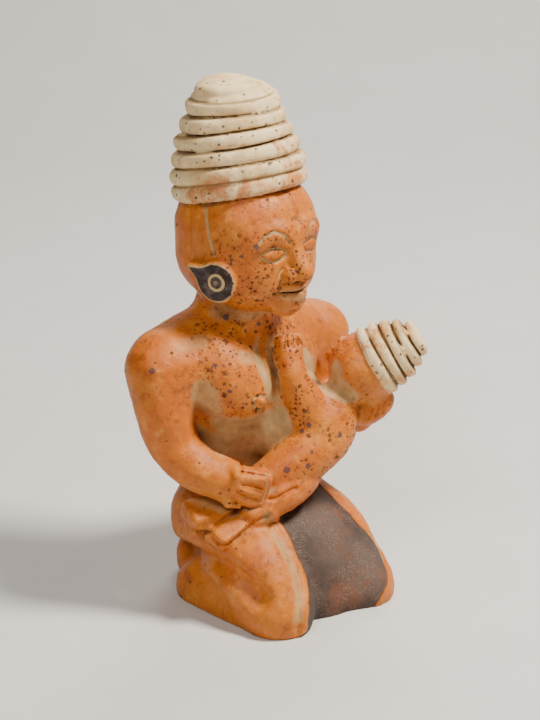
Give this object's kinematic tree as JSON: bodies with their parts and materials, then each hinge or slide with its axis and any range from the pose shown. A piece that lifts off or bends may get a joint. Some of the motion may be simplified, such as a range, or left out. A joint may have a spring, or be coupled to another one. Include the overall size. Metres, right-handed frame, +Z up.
{
  "type": "kneeling mother and infant figure",
  "caption": "Hand-modelled terracotta figure of a kneeling woman in a coiled turban holding an infant in a coiled hat across her lap.",
  "frame": {"origin": "on the flat underside, straight below the mother's head", "axes": "+X to the figure's left, -Y the way the figure faces, +Z up"},
  "size_m": [0.1768, 0.142, 0.33],
  "materials": {
    "fired_clay": "burnished unglazed terracotta with cream slip on the headwear"
  },
  "bodies": {
    "root": {"kneeling_figure": "fired_clay"}
  },
  "joints": []
}
